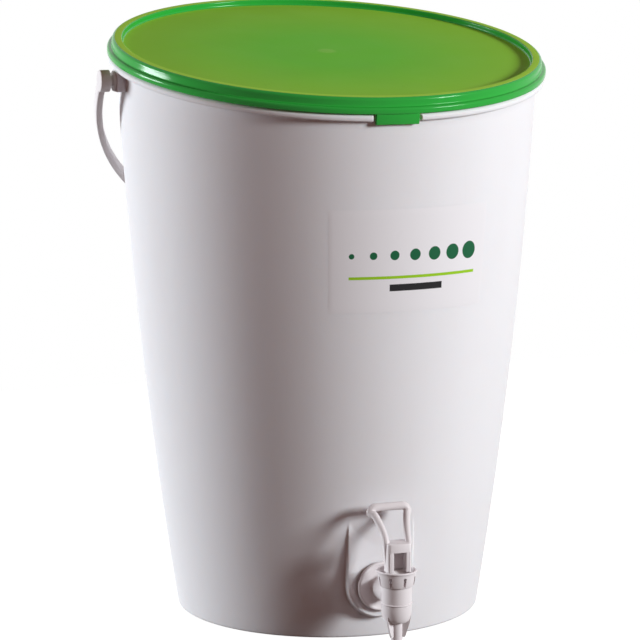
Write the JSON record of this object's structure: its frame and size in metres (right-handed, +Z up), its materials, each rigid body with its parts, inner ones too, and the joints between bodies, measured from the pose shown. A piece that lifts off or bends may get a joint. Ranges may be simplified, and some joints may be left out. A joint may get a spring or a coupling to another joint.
{
  "type": "bokashi bin",
  "caption": "Tapered compost bucket with a sloping press-on lid, swinging bail, drain plate inside and a lever tap for the liquid.",
  "frame": {"origin": "middle of the flat boss under the bucket, on the surface that it stands on", "axes": "+Z up along the bucket's axis, -Y towards the tap, +X to the right as one faces the tap"},
  "size_m": [0.3014, 0.2867, 0.3886],
  "materials": {
    "shell": "satin moulded polypropylene",
    "lid": "moulded polypropylene, glossy ring and matt panel",
    "bail": "satin moulded polypropylene",
    "pin": "satin moulded nylon",
    "grate": "satin moulded polypropylene",
    "label": "clear film with a plain printed motif",
    "tap": "satin moulded polypropylene",
    "stem": "satin moulded acetal",
    "seal": "silicone",
    "washer": "matt rubber",
    "steel": "drawn stainless wire"
  },
  "bodies": {
    "bin": {"bin_body": "shell", "label_film": "label", "pivot_pin_left": "pin", "pivot_pin_right": "pin", "tap_body": "tap", "tap_bonnet": "tap", "outer_washer": "washer", "inner_washer": "washer", "lock_nut": "tap", "return_spring": "steel"},
    "lid": {"lid": "lid", "lid_seal": "seal"},
    "bail": {"bail_handle": "bail"},
    "drain": {"drain_plate": "grate"},
    "valve": {"tap_stem": "stem", "seat_cup": "seal"},
    "lever": {"tap_lever": "tap", "lever_pin": "steel"}
  },
  "joints": [
    {"name": "bail_swing", "type": "hinge", "parent": "bin", "child": "bail", "pos_m": [0, 0, 0.3436], "axis": [1, 0, 0], "range_deg": [0, 260.3]},
    {"name": "lid_lift", "type": "slide", "parent": "bin", "child": "lid", "axis": [0, -0.1814, 0.9834], "range_m": [0, 0.12]},
    {"name": "plate_lift", "type": "slide", "parent": "bin", "child": "drain", "axis": [0, 0, 1], "range_m": [0, 0.25]},
    {"name": "stem_lift", "type": "slide", "parent": "bin", "child": "valve", "axis": [0, 0, 1], "range_m": [0, 0.00252], "deforming": ["return_spring"]},
    {"name": "lever_tilt", "type": "hinge", "parent": "valve", "child": "lever", "pos_m": [0, -0.13589, 0.0488], "axis": [1, 0, 0], "range_deg": [0, 42], "stiffness_Nm_per_rad": 0.04, "springref_deg": -17.19}
  ],
  "couplings": [
    {"joint": "stem_lift", "follows": "lever_tilt", "m_per_rad": 0.0034}
  ]
}
